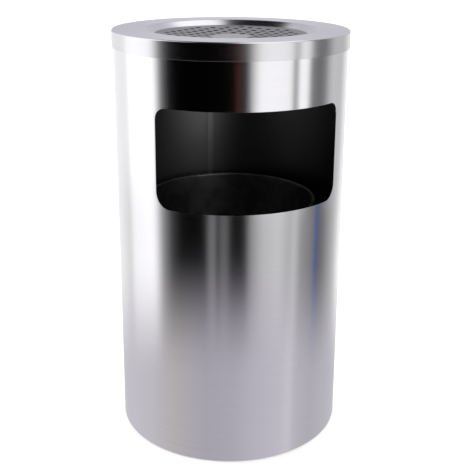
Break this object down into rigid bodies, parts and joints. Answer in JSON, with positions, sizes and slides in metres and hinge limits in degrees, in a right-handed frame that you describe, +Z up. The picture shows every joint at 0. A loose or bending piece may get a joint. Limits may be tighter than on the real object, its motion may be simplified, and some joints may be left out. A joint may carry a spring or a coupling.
{
  "type": "ashtray bin",
  "caption": "Cylindrical brushed steel litter bin with a side slot, a lift-off ashtray lid with a perforated plate, and a lift-out bucket.",
  "frame": {"origin": "centre of the plane that the four feet rest on", "axes": "+Z up along the body's axis; the slot faces -Y, the wall's seam is at +Y; +X is to the right when facing the slot"},
  "size_m": [0.3452, 0.3452, 0.61],
  "materials": {
    "brushed_body": "fine brushed stainless steel, grain round the wall",
    "brushed_lid": "brushed stainless steel, circular grain on the top",
    "pan_steel": "plain drawn stainless steel",
    "sieve_steel": "plain perforated stainless steel",
    "galvanised": "galvanised sheet steel",
    "zinc_fastener": "bright zinc plated",
    "bail_wire": "galvanised wire",
    "foot_rubber": "black rubber"
  },
  "bodies": {
    "body": {"body_shell": "brushed_body", "base_plate": "galvanised", "foot_rear_right": "foot_rubber", "foot_rear_left": "foot_rubber", "foot_front_left": "foot_rubber", "foot_front_right": "foot_rubber", "foot_screws": "zinc_fastener", "foot_washers": "zinc_fastener", "foot_nuts": "zinc_fastener"},
    "lid_unit": {"lid": "brushed_lid"},
    "pan_unit": {"ash_pan": "pan_steel"},
    "sieve_unit": {"sieve_plate": "sieve_steel"},
    "bucket_unit": {"bucket_wall": "galvanised", "bucket_floor": "galvanised", "bucket_rim_wire": "galvanised", "ear_right": "galvanised", "ear_left": "galvanised", "ear_rivets": "zinc_fastener"},
    "bail_unit": {"bail": "bail_wire"}
  },
  "joints": [
    {"name": "lid_lift", "type": "slide", "parent": "body", "child": "lid_unit", "axis": [0, 0, 1], "range_m": [0, 1.22]},
    {"name": "pan_lift", "type": "slide", "parent": "lid_unit", "child": "pan_unit", "axis": [0, 0, 1], "range_m": [0, 0.2]},
    {"name": "sieve_lift", "type": "slide", "parent": "pan_unit", "child": "sieve_unit", "axis": [0, 0, 1], "range_m": [0, 0.15]},
    {"name": "bucket_lift", "type": "slide", "parent": "body", "child": "bucket_unit", "axis": [0, 0, 1], "range_m": [0, 0.61]},
    {"name": "bail_swing", "type": "hinge", "parent": "bucket_unit", "child": "bail_unit", "pos_m": [0, 0, 0.3387], "axis": [-1, 0, 0], "range_deg": [0, 230]}
  ],
  "couplings": [
    {"joint": "bucket_lift", "follows": "lid_lift", "ratio": 0.5}
  ]
}
